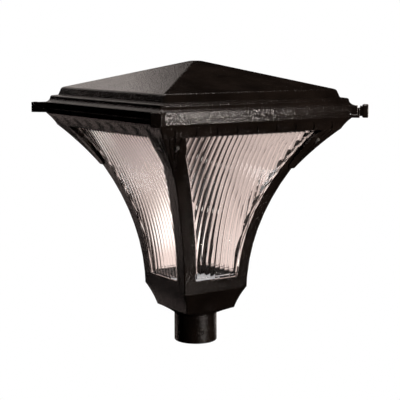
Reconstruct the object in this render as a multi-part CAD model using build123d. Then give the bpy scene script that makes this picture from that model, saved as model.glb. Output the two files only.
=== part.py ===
from build123d import *
import os
from math import asin, cos, degrees, hypot, pi, radians, sin, sqrt, tan

# ---------------------------------------------------------------- driving dimensions, in mm
# The origin is on the lantern's axis at the fitter's bottom rim. -Y is the latch side, +Y the hinge side.

# fitter: the neck that slips over the pole
pole_radius = 38.1
pole_clearance = 0.4
fitter_wall = 6.0
neck_height = 58.0
neck_chamfer = 1.2
collar_height = 2.0
collar_step = 1.5
flange_height = 14.0
flange_foot_step = 1.0
flange_corner = 3.0
socket_depth = 62.0
pole_wire_hole = 16.0
set_screw_radius = 4.0
set_screw_height = 24.0
set_screw_angles = (15, 135, 255)
set_screw_gap = 0.2
set_screw_sink = 0.6
set_screw_key = 2.3
set_screw_key_depth = 3.2

# pod, under the panels
pod_foot_half = 59.0
pod_head_half = 77.0
pod_hollow = 1.5
pod_wall = 4.5
pod_floor = 4.0
pod_height = 44.5
pod_flange_half = 50.0
pod_screw_inset = 1.5

# flared cage: every level is a square whose half width follows one arc
flare_radius = 556.2
flare_centre_drop = 10.3
waist_half = 77.4
cage_edge = 1.6
ring_height = 25.1
leg_height = 305.4
leg_wall = 6.0
leg_foot_width = 26.5
leg_head_width = 34.5
window_foot_radius = 7.0
window_head_radius = 4.5
window_overrun = 1.5
shelf_thickness = 5.0
shelf_half = 46.0
leg_boss = 13.0
leg_boss_shift = 1.5
leg_pad_height = 10.0

# caps on the leg heads
cap_height = 81.0
cap_foot_rise = 3.7
cap_middle_rise = 9.592
cap_middle_drop = 37.6
cap_head_rise = 16.161
cap_foot_width = 15.0
cap_foot_corner = (5.0, 7.0)
cap_bend_drop = 22.0
cap_edge_inset = 1.5
cap_flutes = 3
cap_flute_depth = 1.6
cap_flute_foot_rise = 16.0
cap_flute_foot_inset = 2.0
cap_flute_foot_spread = 9.0
cap_flute_foot_width = 1.4
cap_flute_share = 0.52

# top ring: hollow band, then an upright lip
band_step = 0.4
band_middle_flare = 6.4
band_middle_rise = 11.5
band_flare = 15.4
band_height = 23.0
band_lip = 5.0
band_wall = 4.1
lip_flare = 3.0
lip_foot_bevel = 1.5
lip_height = 11.0
lip_wall = 6.0
ledge_rise = 13.0
ledge_thickness = 5.0
ledge_width = 33.0
gasket_ledge_depth = 5.0
scoop_count = 9
scoop_pitch = 46.0
scoop_radius = 17.0
scoop_tilt = 7.0
scoop_depth = 2.4
scoop_rise = 4.0

# panels: a ribbed field that stands in the window, with a flat flange behind the legs
gasket_thickness = 1.5
gasket_width = 6.0
gasket_inset = 1.5
gasket_end_gap = 1.0
rib_pitch = 11.5
rib_depth = 1.3
panel_thickness = 4.5
panel_rise = 1.5
panel_side_gap = 0.5
panel_flange_overlap = 1.0
panel_lap = 8.0
panel_seat_gap = 0.3
panel_head_rise = 9.0

# roof
roof_gap = 0.3
rim_overhang = 1.0
rim_height = 13.4
rim_wall = 8.0
fascia_inset = 8.6
fascia_lean = 5.1
fascia_height = 15.4
fascia_radius = 7.0
pyramid_rise = 0.2865
apex_radius = 16.0
roof_wall = 4.0
roof_edge = 1.6
rib_gap = 3.0
rib_wall = 4.0

# moulding over the rim: points in and up from the rim's upper edge
cove_middle = (6.4, 3.9)
cove_head = (8.8, 10.1)
bead_middle = (10.0, 13.1)
bead_head = (13.0, 14.3)
moulding_ledge_rise = 1.4

# corner lugs, along the plan's diagonals
lug_length = 24.7
lug_root_depth = 25.0
lug_chamfer = 0.8
hinge_lug_width = 22.0
hinge_lug_rise = 3.5
hinge_offset = 8.0
hinge_pin_radius = 3.0
hinge_pin_outside = 14.0
hinge_pin_inside = 13.0
hinge_pin_chamfer = 0.5
knuckle_radius = 6.4
knuckle_length = 11.5
running_clearance = 0.06
side_gap = 0.4

# latches
latch_rise = 2.2
latch_ear_width = 17.0
latch_ear_depth = 9.3
latch_ear_length = 3.3
latch_ear_drop = 7.0
keeper_thickness = 4.0
keeper_rise = 6.0
keeper_root_inset = 5.0
keeper_slot_clearance = 0.3
latch_shaft_radius = 4.0
latch_shaft_tail = 3.8
latch_clip_radius = 6.5
latch_clip_thickness = 1.6
latch_washer_thickness = 0.9
latch_washer_gap = 0.1
latch_clip_step = 0.8
knob_neck_size = (17.0, 20.5)
knob_neck_length = 5.0
knob_head_size = (21.0, 27.0)
knob_corner = 5.0
knob_crown = 2.2
knob_flare = 1.0
knob_flare_length = 3.0
knob_bore_depth = 8.0

# gear under the roof
tray_gap = 2.0
tray_thickness = 2.0
tray_corner = 3.0
tray_screw_shift = 3.0
light_opening_half = 62.0
sink_half = 85.0
sink_base = 5.0
sink_fins = 15
sink_fin_height = 26.0
sink_fin_thickness = 2.2
sink_screw_room = 1.5
board_half = 58.0
board_thickness = 1.6
emitter_rows = 6
emitter_pitch = 17.0
emitter_size = 3.5
emitter_thickness = 0.8
cover_half = 72.0
cover_depth = 8.0
cover_wall = 2.0
cover_corner = 8.0
cover_edge = 3.0
driver_size = (150.0, 54.0, 32.0)
driver_inset = 40.0
driver_corner = 5.0
surge_size = (46.0, 34.0, 26.0)
surge_inset = (33.0, 42.0)
surge_corner = 4.0
case_top_share = 0.4
case_foot = 10.0
case_foot_width = 16.0
case_gap = 4.0
block_size = (34.0, 16.0, 18.0)
block_chamfer = 3.0
block_screw_inset = 4.0
block_well = (2.2, 8.0)
block_mouth = (3.6, 8.0, 4.0)
block_mouth_height = 8.1
tray_block_gap = 19.0
tray_block_inset = 8.0
pod_block_at = (0.0, 38.0)
block_poles = 3
block_pitch = 6.5
earth_inset = (30.0, 84.0)
earth_washer = (5.0, 1.0)

# leads
riser_diameter = 7.0
riser_clip_heights = (259.0, 357.0)
riser_clip_wall = 1.6
riser_clip_half = 4.0
lead_diameter = 5.0
driver_lead_height = 9.0
light_lead_diameter = 4.0
light_lead_x = -40.0
light_lead_height = 8.0
light_lead_run = 8.0
grommet_wall = 2.0
grommet_flange = 2.5
grommet_lip = 1.2

# floor plate over the pod
floor_half = 60.0
floor_thickness = 2.0
floor_corner = 6.0

# screws: shank radius, head radius, head height
small_screw = (1.5, 2.9, 2.0)
medium_screw = (2.0, 3.6, 2.6)
hole_clearance = 0.05
head_room = 0.3
fitter_bolt_half = 40.0
fitter_screw_grip = 8.0
floor_screw_half = 52.0
sink_screw_half = 76.0
cap_screw_drop = 21.0
cap_screw_from_corner = 24.0
cap_screw_length = 9.0
cap_screw_sink = 0.5
block_seat = 4.0
screw_end_gap = 1.0
short_end_gap = 0.5
hinge_clear_in_frame = 0.02

# bars that hold the panels' top edges
bar_length_half = 140.0
bar_thickness = 2.5
bar_drop = 15.0
bar_gap = 0.6
bar_wall_gap = 3.5
bar_screw_x = 100.0
bar_screw_inset = 6.0

# gasket between the frame and the roof
gasket_height = 4.0
gasket_side_gap = 2.4
gasket_ring_width = 7.0
gasket_landing = 0.6

# where the riser passes the two plates
riser_foot = (8.0, 38.0)
riser_head_inset = 20.0

# how far a cutter runs past the face that it opens
cut = 1.0

# ---------------------------------------------------------------- derived sizes
socket_radius = pole_radius + pole_clearance
neck_radius = socket_radius + fitter_wall
flange_foot_z = neck_height + collar_height
flange_head_z = flange_foot_z + flange_height - collar_height
pod_head_z = flange_head_z + pod_height
leg_foot_z = pod_head_z + ring_height
leg_head_z = leg_foot_z + leg_height
flare_centre_half = waist_half + flare_radius
flare_centre_z = pod_head_z - flare_centre_drop
ledge_z = leg_head_z + ledge_rise
panel_head_z = leg_head_z + panel_head_rise
bar_upright_z = ledge_z - bar_drop
cap_foot_z = leg_head_z - cap_height
cap_middle_z = leg_head_z - cap_middle_drop
cap_screw_z = leg_head_z - cap_screw_drop
panel_inset = leg_wall + gasket_thickness
panel_back = panel_inset + panel_thickness
shelf_z = pod_head_z + shelf_thickness
tray_z = ledge_z + ledge_thickness
tray_top = tray_z + tray_thickness
floor_top = shelf_z + floor_thickness
panel_foot_z = shelf_z + panel_seat_gap
leg_screw_seat_z = pod_head_z + medium_screw[2] + head_room
head_screw_seat_z = tray_z - medium_screw[2] - head_room
root2 = sqrt(2)
far = 600.0
arc_steps = 10


def flare_half(z, inset=0.0):
    """Half width of the flared cage at a height, moved inwards by inset."""
    return flare_centre_half - sqrt((flare_radius + inset) ** 2 - (z - flare_centre_z) ** 2)


# levels and half widths of the caps, the band, the lip and the roof, each from the one below it
cap_foot_half = flare_half(cap_foot_z) + cap_foot_rise
cap_middle_half = flare_half(cap_middle_z) + cap_middle_rise
cap_head_half = flare_half(leg_head_z) + cap_head_rise
band_foot_half = cap_head_half + band_step
band_head_half = band_foot_half + band_flare
band_head_z = leg_head_z + band_height
band_wall_half = band_foot_half - band_wall
lip_half = band_head_half + lip_flare
lip_head_z = band_head_z + lip_height
gasket_ledge_z = lip_head_z - gasket_ledge_depth
gasket_top = gasket_ledge_z + gasket_height
gasket_outer_half = lip_half - lip_wall - gasket_side_gap
tray_well_half = gasket_outer_half - gasket_ring_width - gasket_landing
tray_half = tray_well_half - tray_gap
ledge_half = tray_well_half - ledge_width
rim_half = lip_half + rim_overhang
rim_foot_z = lip_head_z + roof_gap
rim_head_z = rim_foot_z + rim_height
rib_half = rim_half - rim_wall - rib_gap
step_half = rim_half - bead_head[0]
step_z = rim_head_z + bead_head[1]
ledge_top_z = step_z + moulding_ledge_rise
fascia_foot_half = step_half - fascia_inset
fascia_head_half = fascia_foot_half - fascia_lean
eave_z = ledge_top_z + fascia_height
apex_z = eave_z + pyramid_rise * fascia_head_half

# places on the tray, from the ring's ledge inwards, and of the bars' screws
surge_at = (surge_inset[0] - ledge_half, ledge_half - surge_inset[1])
driver_at = (
    surge_at[0] + (surge_size[0] + driver_size[0]) / 2 + 2 * case_foot + case_gap, ledge_half - driver_inset
)
tray_block_at = (
    driver_at[0] + (driver_size[0] + block_size[0]) / 2 + tray_block_gap, ledge_half - tray_block_inset
)
earth_at = (ledge_half - earth_inset[0], ledge_half - earth_inset[1])
riser_head = (ledge_half - riser_head_inset, ledge_half - riser_head_inset)
bar_reach = band_wall_half - bar_wall_gap
bar_screw_y = bar_reach - bar_screw_inset

# lugs and latches follow the rim's corner; distances along a diagonal count from the lantern's axis
rim_corner = rim_half * root2
lug_root = rim_corner - lug_root_depth
lug_reach = rim_corner + lug_length
hinge_lug_foot_z = band_head_z + hinge_lug_rise
hinge_x = rim_half + hinge_offset
hinge_y = hinge_x
hinge_z = rim_foot_z + knuckle_radius + side_gap
hinge_pin_outer = hinge_x + hinge_pin_outside
hinge_pin_inner = hinge_x - hinge_pin_inside
knuckle_inner = hinge_x - knuckle_length
latch_z = rim_foot_z + latch_rise
latch_ear_root = rim_corner - latch_ear_depth
latch_ear_reach = rim_corner + latch_ear_length
latch_ear_foot_z = latch_z - latch_ear_drop
latch_shaft_root = latch_ear_root - latch_shaft_tail
keeper_face = latch_ear_reach + side_gap
keeper_head_z = latch_z + keeper_rise
keeper_web_z = latch_ear_foot_z - 1.5 * side_gap


# ---------------------------------------------------------------- outline helpers
def flare_line(low_z, high_z, inset=0.0):
    """The cage's arc, as seen from the front, between two heights."""
    points = [(flare_half(z, inset), 0, z) for z in (low_z, (low_z + high_z) / 2, high_z)]
    return ThreePointArc(*points)


def upright(*points):
    """Straight outline through (half width, height) points."""
    return Polyline(*[(half, 0, z) for half, z in points])


def square_body(*sides, edge=0.0):
    """Body whose every level is a square: the outline is swept both ways and the two are intersected.

    sides are the lines of the right-hand outline, from bottom to top. edge bevels the four corners.
    """
    right = Wire([piece for side in sides for piece in side.edges()])
    left = right.mirror(Plane.YZ)
    low = right.position_at(0)
    high = right.position_at(1)
    loop = list(right.edges()) + list(left.edges())
    loop.append(Edge.make_line((-low.X, 0, low.Z), (low.X, 0, low.Z)))
    if high.X > 0.01:
        loop.append(Edge.make_line((-high.X, 0, high.Z), (high.X, 0, high.Z)))
    face = Face(Wire.combine(loop)[0])
    sweep = extrude(face, amount=far, dir=(0, 1, 0), both=True)
    body = sweep & sweep.rotate(Axis.Z, 90)
    if edge > 0:
        bevel = extrude(diagonal_outline(right, edge), amount=root2 * far, dir=(0, 1, 0), both=True)
        body = body & bevel.rotate(Axis.Z, 45) & bevel.rotate(Axis.Z, -45)
    return body


def diagonal_outline(right, trim):
    """The outline as seen along the plan's diagonal, pulled in by trim."""
    points = []
    for piece in right.edges():
        steps = 1 if piece.geom_type == GeomType.LINE else arc_steps
        points += [piece.position_at(i / steps) for i in range(steps)]
    points.append(right.position_at(1))
    outline = [(max(point.X * root2 - trim, 0.0), 0, point.Z) for point in points]
    mirrored = [(-x, y, z) for x, y, z in reversed(outline) if x > 0]
    return make_face(Polyline(*outline, *mirrored, close=True))


def slab(half, low_z, high_z):
    """Square plate centred on the axis."""
    return box_between((-half, -half, low_z), (half, half, high_z))


def box_between(low, high):
    """Box from its lowest corner to its highest."""
    size = [b - a for a, b in zip(low, high)]
    centre = [(a + b) / 2 for a, b in zip(low, high)]
    return Pos(*centre) * Box(*size)


def rod(radius, start, end):
    """Cylinder between two points."""
    line = Vector(*end) - Vector(*start)
    plane = Plane(origin=start, z_dir=line)
    return plane * Cylinder(radius, line.length, align=(Align.CENTER, Align.CENTER, Align.MIN))


def screw(size, seat, direction, length):
    """Pan-head screw: the head stands on the seat, and the shank runs along direction."""
    shank_radius, head_radius, head_height = size
    plane = Plane(origin=seat, z_dir=direction)
    shank = rod(shank_radius, (0, 0, 0), (0, 0, length))
    head = rod(head_radius, (0, 0, -head_height), (0, 0, 0))
    head = fillet(head.edges().sort_by(Axis.Z)[0], head_height * 0.45)
    slot = Pos(0, 0, -head_height) * Box(head_radius * 1.3, head_height * 0.3, head_height * 0.8)
    cross = Pos(0, 0, -head_height) * Box(head_height * 0.3, head_radius * 1.3, head_height * 0.8)
    return plane * (shank + head - slot - cross)


def screw_hole(size, seat, direction, length, extra=1.0):
    """Cutter for a screw's shank, a little longer than the shank."""
    plane = Plane(origin=seat, z_dir=direction)
    return plane * rod(size[0] + hole_clearance, (0, 0, -extra), (0, 0, length + extra))


def four_ways(body):
    """The body and its copies turned by a quarter, a half and three quarters."""
    return [body.rotate(Axis.Z, 90 * turn) for turn in range(4)]


def corners(half):
    """The four corner points of a square."""
    return [(half, half), (-half, half), (-half, -half), (half, -half)]


# ---------------------------------------------------------------- fitter and pod
def make_post_fitter():
    neck = Cylinder(neck_radius, neck_height, align=(Align.CENTER, Align.CENTER, Align.MIN))
    neck = chamfer(neck.edges().sort_by(Axis.Z)[0], neck_chamfer)
    collar = Pos(0, 0, neck_height) * Cylinder(
        neck_radius - collar_step, collar_height, align=(Align.CENTER, Align.CENTER, Align.MIN)
    )
    foot = Plane.XY.offset(flange_foot_z) * Circle(neck_radius + flange_foot_step)
    width = 2 * pod_foot_half
    head = Plane.XY.offset(flange_head_z) * RectangleRounded(width, width, flange_corner)
    flange = loft([foot, head])
    body = neck + collar + flange
    body -= Cylinder(socket_radius, socket_depth, align=(Align.CENTER, Align.CENTER, Align.MIN))
    body -= Cylinder(pole_wire_hole, far)
    for x, y in corners(fitter_bolt_half):
        body -= screw_hole(medium_screw, (x, y, flange_head_z), (0, 0, -1), fitter_screw_grip)
    for seat, line in set_screw_places():
        body -= rod(set_screw_radius + hole_clearance, seat, tuple(a - b for a, b in zip(seat, line)))
    return body


def set_screw_places():
    """Inner end of each set screw, and the line that it runs along."""
    places = []
    for angle in set_screw_angles:
        way = (cos(radians(angle)), sin(radians(angle)))
        inner = (way[0] * pole_radius, way[1] * pole_radius, set_screw_height)
        run = neck_radius + 2 * cut - pole_radius
        places.append((inner, (-way[0] * run, -way[1] * run, 0)))
    return places


def make_set_screws():
    screws = []
    for inner, line in set_screw_places():
        run = Vector(*line) * -1
        length = fitter_wall - set_screw_sink - set_screw_gap
        start = Vector(*inner) + run.normalized() * (pole_clearance + set_screw_gap)
        end = start + run.normalized() * length
        body = rod(set_screw_radius, tuple(start), tuple(end))
        key = extrude(RegularPolygon(set_screw_key, 6), amount=-set_screw_key_depth)
        screws.append(body - Plane(origin=tuple(end), z_dir=run) * key)
    return screws


def pod_side(inset=0.0, low_z=flange_head_z, high_z=pod_head_z):
    """Pod outline: an arc that is slightly hollow."""
    middle_half = (pod_foot_half + pod_head_half) / 2 - pod_hollow - inset
    middle_z = (low_z + high_z) / 2
    return ThreePointArc(
        (pod_foot_half - inset, 0, low_z), (middle_half, 0, middle_z), (pod_head_half - inset, 0, high_z)
    )


def make_base_pod():
    body = square_body(pod_side(), edge=cage_edge)
    hollow = square_body(pod_side(inset=pod_wall))
    flange_z = pod_head_z - pod_floor
    hollow = hollow & slab(far, flange_head_z + pod_floor, flange_z)
    body = body - hollow - slab(pod_flange_half, flange_z - cut, pod_head_z + cut)
    body -= Cylinder(pole_wire_hole, far)
    for x, y in corners(fitter_bolt_half):
        body -= screw_hole(medium_screw, (x, y, flange_head_z + pod_floor), (0, 0, -1), pod_floor)
    for x, y in pod_ring_screw_places():
        body -= screw_hole(medium_screw, (x, y, flange_z), (0, 0, 1), pod_floor)
    floor_z = flange_head_z + pod_floor
    depth = pod_floor - 3 * short_end_gap
    for x, y in block_screw_places(pod_block_at):
        body -= screw_hole(small_screw, (x, y, floor_z), (0, 0, -1), depth, extra=short_end_gap)
    return body


def pod_ring_screw_places():
    """Screws at the middle of each side, up from the pod's flange into the ring's shelf."""
    middle = (pod_flange_half + pod_head_half - pod_wall) / 2 - pod_screw_inset
    return [(middle, 0), (0, middle), (-middle, 0), (0, -middle)]


def make_pod_screws():
    floor_z = flange_head_z + pod_floor
    flange_z = pod_head_z - pod_floor
    down = [
        screw(medium_screw, (x, y, floor_z), (0, 0, -1), pod_floor + fitter_screw_grip - short_end_gap)
        for x, y in corners(fitter_bolt_half)
    ]
    up = [
        screw(medium_screw, (x, y, flange_z), (0, 0, 1), pod_floor + shelf_thickness - screw_end_gap)
        for x, y in pod_ring_screw_places()
    ]
    return down + up


# ---------------------------------------------------------------- cage
leg_bolt_half = flare_half(leg_foot_z) - leg_wall - leg_boss / 2 + leg_boss_shift
head_bolt_half = flare_half(leg_head_z) - leg_wall - leg_boss / 2


def corner_blocks(inner, outer, low_z, high_z):
    """Square post in each corner, between two half widths."""
    return [
        box_between((min(sx * inner, sx * outer), min(sy * inner, sy * outer), low_z),
                    (max(sx * inner, sx * outer), max(sy * inner, sy * outer), high_z))
        for sx in (-1, 1) for sy in (-1, 1)
    ]


def cage_band(low_z, high_z, inset=0.0, edge=0.0):
    return square_body(flare_line(low_z, high_z, inset), edge=edge)


def make_bottom_ring():
    outer = cage_band(pod_head_z, leg_foot_z, edge=cage_edge)
    ring = outer - cage_band(shelf_z, leg_foot_z + cut, inset=leg_wall) - slab(shelf_half, 0, shelf_z + cut)
    inner = foot_boss_inner()
    for block in corner_blocks(inner, far, pod_head_z, leg_foot_z):
        ring += block & outer
    for x, y in corners(leg_bolt_half):
        ring -= screw_hole(medium_screw, (x, y, pod_head_z), (0, 0, 1), leg_foot_z - pod_head_z)
        ring -= rod(medium_screw[1] + head_room, (x, y, pod_head_z - cut), (x, y, leg_screw_seat_z))
    depth = shelf_thickness - screw_end_gap
    for x, y in pod_ring_screw_places():
        ring -= screw_hole(medium_screw, (x, y, pod_head_z), (0, 0, 1), depth, extra=short_end_gap)
    for x, y in corners(floor_screw_half):
        ring -= screw_hole(small_screw, (x, y, shelf_z), (0, 0, -1), shelf_thickness)
    return ring


def foot_boss_inner():
    return leg_bolt_half - leg_boss / 2 + leg_boss_shift


def head_boss_inner():
    return head_bolt_half - leg_boss / 2


def window_half(z, lap=0.0):
    """Half width of a window at a height: the cage's half width less the leg's width."""
    share = (z - leg_foot_z) / (leg_head_z - leg_foot_z)
    width = leg_foot_width + share * (leg_head_width - leg_foot_width)
    return flare_half(z) - width + lap


def window_face(low_z, high_z, lap=0.0, foot_radius=0.0, head_radius=0.0):
    """Window outline as seen from the front, between two heights and wider by lap."""
    heights = (low_z, (low_z + high_z) / 2, high_z)
    side = ThreePointArc(*[(window_half(z, lap), 0, z) for z in heights])
    foot_half = window_half(low_z, lap)
    head_half = window_half(high_z, lap)
    pieces = [side.edge(), side.edge().mirror(Plane.YZ)]
    pieces.append(Edge.make_line((-foot_half, 0, low_z), (foot_half, 0, low_z)))
    pieces.append(Edge.make_line((-head_half, 0, high_z), (head_half, 0, high_z)))
    face = Face(Wire.combine(pieces)[0])
    corner_points = face.vertices().sort_by(Axis.Z)
    if foot_radius > 0:
        face = face.fillet_2d(foot_radius, corner_points[:2])
    if head_radius > 0:
        face = face.fillet_2d(head_radius, face.vertices().sort_by(Axis.Z)[-2:])
    return face


def make_legs():
    outer = cage_band(leg_foot_z, leg_head_z, edge=cage_edge)
    cage = outer - cage_band(leg_foot_z, leg_head_z, inset=leg_wall)
    for block in corner_blocks(foot_boss_inner(), far, leg_foot_z, leg_foot_z + leg_pad_height):
        cage += block & outer
    for block in corner_blocks(head_boss_inner(), far, leg_head_z - leg_pad_height, leg_head_z):
        cage += block & outer
    window = window_face(
        leg_foot_z - window_overrun, leg_head_z + window_overrun,
        foot_radius=window_foot_radius, head_radius=window_head_radius,
    )
    cutter = extrude(window, amount=far, dir=(0, 1, 0), both=True)
    cage = cage - cutter - cutter.rotate(Axis.Z, 90)
    leg = cage & box_between((0, -far, 0), (far, 0, far))
    leg -= screw_hole(medium_screw, (leg_bolt_half, -leg_bolt_half, leg_foot_z), (0, 0, 1), leg_pad_height)
    leg -= screw_hole(medium_screw, (head_bolt_half, -head_bolt_half, leg_head_z), (0, 0, -1), leg_pad_height)
    for seat, way in cap_screw_seats():
        leg -= screw_hole(medium_screw, seat, way, cap_screw_length)
    leg = leg.solids().sort_by(SortBy.VOLUME)[-1]
    return {leg_name(copy.center()): copy for copy in four_ways(leg)}


def leg_name(point):
    return ("front" if point.Y < 0 else "rear") + "_" + ("left" if point.X < 0 else "right")


def make_leg_foot_screws():
    length = leg_foot_z + leg_pad_height - screw_end_gap - leg_screw_seat_z
    seats = [(x, y, leg_screw_seat_z) for x, y in corners(leg_bolt_half)]
    return [screw(medium_screw, seat, (0, 0, 1), length) for seat in seats]


def make_leg_head_screws():
    length = head_screw_seat_z - leg_head_z + leg_pad_height - screw_end_gap
    seats = [(x, y, head_screw_seat_z) for x, y in corners(head_bolt_half)]
    return [screw(medium_screw, seat, (0, 0, -1), length) for seat in seats]


# ---------------------------------------------------------------- caps on the leg heads
def cap_outline():
    """Outer outline of the caps, nearly straight from the leg up to the band."""
    points = ((cap_foot_half, cap_foot_z), (cap_middle_half, cap_middle_z), (cap_head_half, leg_head_z))
    return ThreePointArc(*[(half, 0, z) for half, z in points])


def cap_skin_half(z):
    """Half width of the caps' outer outline at a height."""
    x1, x2, x3 = cap_foot_half, cap_middle_half, cap_head_half
    z1, z2, z3 = cap_foot_z, cap_middle_z, leg_head_z
    first = (z - z2) * (z - z3) / ((z1 - z2) * (z1 - z3))
    second = (z - z1) * (z - z3) / ((z2 - z1) * (z2 - z3))
    third = (z - z1) * (z - z2) / ((z3 - z1) * (z3 - z2))
    return x1 * first + x2 * second + x3 * third


def cap_keep_face():
    """What of a cap shows on the front face of the +X, -Y corner: full width above, narrow below."""
    head_inner = window_half(leg_head_z) + cap_edge_inset
    foot_inner = flare_half(cap_foot_z) - cap_foot_width
    bend_z = leg_head_z - cap_bend_drop
    bend_inner = window_half(bend_z) + cap_edge_inset
    across, up = cap_foot_corner
    return make_face(
        Polyline(
            (foot_inner + across, 0, cap_foot_z), (foot_inner, 0, cap_foot_z + up), (bend_inner, 0, bend_z),
            (head_inner, 0, leg_head_z), (far, 0, leg_head_z), (far, 0, cap_foot_z), close=True
        )
    )


def cap_flute_face(index):
    """One flute: a narrow wedge that starts near the cap's foot and widens towards the band."""
    spread = (index + 0.75) / (cap_flutes + 0.5)
    head_inner = window_half(leg_head_z) + 2 * cap_edge_inset
    head_x = cap_head_half - spread * (cap_head_half - head_inner)
    foot_z = cap_foot_z + cap_flute_foot_rise
    foot_x = cap_skin_half(foot_z) - cap_flute_foot_inset - spread * cap_flute_foot_spread
    foot_width = cap_flute_foot_width
    head_width = (cap_head_half - head_inner) / (cap_flutes + 0.5) * cap_flute_share
    return make_face(
        Polyline(
            (foot_x - foot_width / 2, 0, foot_z), (head_x - head_width / 2, 0, leg_head_z + cut),
            (head_x + head_width / 2, 0, leg_head_z + cut), (foot_x + foot_width / 2, 0, foot_z), close=True
        )
    )


def make_leg_caps():
    outer = square_body(cap_outline(), edge=cage_edge)
    flute_floor = ThreePointArc(
        (cap_foot_half - cap_flute_depth, 0, cap_foot_z),
        (cap_middle_half - cap_flute_depth, 0, cap_middle_z),
        (cap_head_half - cap_flute_depth * 1.3, 0, leg_head_z),
    )
    shell = outer - square_body(flare_line(cap_foot_z, leg_head_z))
    groove_zone = outer - square_body(flute_floor)
    keep = extrude(cap_keep_face(), amount=far, dir=(0, -1, 0))
    quarter = box_between((0, -far, 0), (far, 0, far))
    cap = shell & quarter & keep & swap_faces(keep)
    for index in range(cap_flutes):
        wedge = extrude(cap_flute_face(index), amount=far, dir=(0, -1, 0))
        grooves = (wedge + swap_faces(wedge)) & groove_zone
        cap -= grooves
    for seat, way in cap_screw_seats():
        cap -= screw_hole(medium_screw, seat, way, cap_screw_length)
        outer_end = tuple(a - 4 * b for a, b in zip(seat, way))
        cap -= rod(medium_screw[1] + head_room, seat, outer_end)
    cap = cap.solids().sort_by(SortBy.VOLUME)[-1]
    return {leg_name(copy.center()): copy for copy in four_ways(cap)}


def swap_faces(body):
    """Mirror a shape in the diagonal plane of the +X, -Y corner."""
    return body.mirror(Plane(origin=(0, 0, 0), x_dir=(1, -1, 0), z_dir=(1, 1, 0)))


def cap_screw_seats():
    """Seat and direction of the two screws of the +X, -Y corner's cap."""
    slope = (cap_skin_half(cap_screw_z + 1) - cap_skin_half(cap_screw_z - 1)) / 2
    length = hypot(1, slope)
    half = cap_skin_half(cap_screw_z) - cap_screw_sink
    across = half - cap_screw_from_corner
    front = ((across, -half, cap_screw_z), (0, 1 / length, slope / -length))
    side = ((half, -across, cap_screw_z), (-1 / length, 0, slope / -length))
    return [front, side]


def make_cap_screws():
    pair = [screw(medium_screw, seat, way, cap_screw_length) for seat, way in cap_screw_seats()]
    return [item.rotate(Axis.Z, 90 * turn) for turn in range(4) for item in pair]


# ---------------------------------------------------------------- top ring
def band_line():
    middle = (band_foot_half + band_middle_flare, 0, leg_head_z + band_middle_rise)
    return ThreePointArc((band_foot_half, 0, leg_head_z), middle, (band_head_half, 0, band_head_z))


def make_top_ring():
    bevel = (lip_half - lip_foot_bevel, band_head_z + lip_foot_bevel)
    lip = upright((band_head_half, band_head_z), bevel, (lip_half, lip_head_z))
    outer = square_body(band_line(), lip, edge=cage_edge)
    ring = outer - square_body(flare_line(leg_head_z, leg_head_z + band_lip, leg_wall))
    ring -= slab(band_wall_half, leg_head_z + band_lip, ledge_z)
    ring -= slab(ledge_half, ledge_z - cut, tray_z + cut)
    ring -= slab(tray_well_half, tray_z, gasket_ledge_z + cut)
    ring -= slab(lip_half - lip_wall, gasket_ledge_z, lip_head_z + cut)
    for block in corner_blocks(head_boss_inner(), band_wall_half + cut, leg_head_z, tray_z):
        ring += block & outer
    ring = ring - band_scoops()
    for sign in (-1, 1):
        ring += hinge_lug_of_frame(sign)
        ring += keeper(sign)
        ring -= latch_notch(sign)
    for x, y in corners(head_bolt_half):
        ring -= screw_hole(medium_screw, (x, y, tray_z), (0, 0, -1), tray_z - leg_head_z)
        ring -= rod(medium_screw[1] + head_room, (x, y, head_screw_seat_z), (x, y, tray_z + cut))
    for x, y in tray_screw_places():
        ring -= screw_hole(small_screw, (x, y, tray_z), (0, 0, -1), ledge_thickness)
    depth = ledge_thickness - screw_end_gap
    for x, y in bar_screw_places():
        ring -= screw_hole(small_screw, (x, y, ledge_z), (0, 0, 1), depth, extra=short_end_gap)
    return ring


def band_scoops():
    """Shallow scoops in the band: tilted discs, each deep at one side and fading at the other."""
    slope = band_middle_flare / band_middle_rise
    lean = degrees(asin(slope / hypot(1, slope)))
    scoop_z = leg_head_z + scoop_rise
    skin = band_foot_half + scoop_rise * slope
    cutters = []
    for index in range(scoop_count):
        along = (index - (scoop_count - 1) / 2) * scoop_pitch
        disc = rod(scoop_radius, (-scoop_radius, 0, -scoop_depth), (-scoop_radius, 0, scoop_radius))
        outwards = (0, -cos(radians(lean)), -sin(radians(lean)))
        place = Plane(origin=(along, -skin, scoop_z), x_dir=(1, 0, 0), z_dir=outwards)
        cutters.append(place * disc.rotate(Axis.Y, scoop_tilt))
    return [turned for cutter in cutters for turned in four_ways(cutter)]


def diagonal_plane(sign_x, sign_y, reach, z):
    """Plane across a corner's diagonal: its Z runs outwards and its Y runs up."""
    return Plane(
        origin=(sign_x * reach / root2, sign_y * reach / root2, z), x_dir=(-sign_y, sign_x, 0),
        z_dir=(sign_x, sign_y, 0)
    )


def diagonal_block(sign_x, sign_y, width, low_z, high_z, start, end, corner=0.0):
    """Block along a corner's diagonal, between two distances from the axis."""
    plane = diagonal_plane(sign_x, sign_y, start, (low_z + high_z) / 2)
    if corner > 0:
        section = plane * RectangleRounded(width, high_z - low_z, corner)
    else:
        section = plane * Rectangle(width, high_z - low_z)
    return extrude(section, amount=end - start)


def hinge_lug_block(sign):
    head_z = rim_head_z - side_gap / 2
    block = diagonal_block(sign, 1, hinge_lug_width, hinge_lug_foot_z, head_z, lug_root, lug_reach)
    end_edges = block.faces().sort_by(lambda face: -hypot(face.center().X, face.center().Y))[0].edges()
    return chamfer(end_edges, lug_chamfer)


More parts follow.
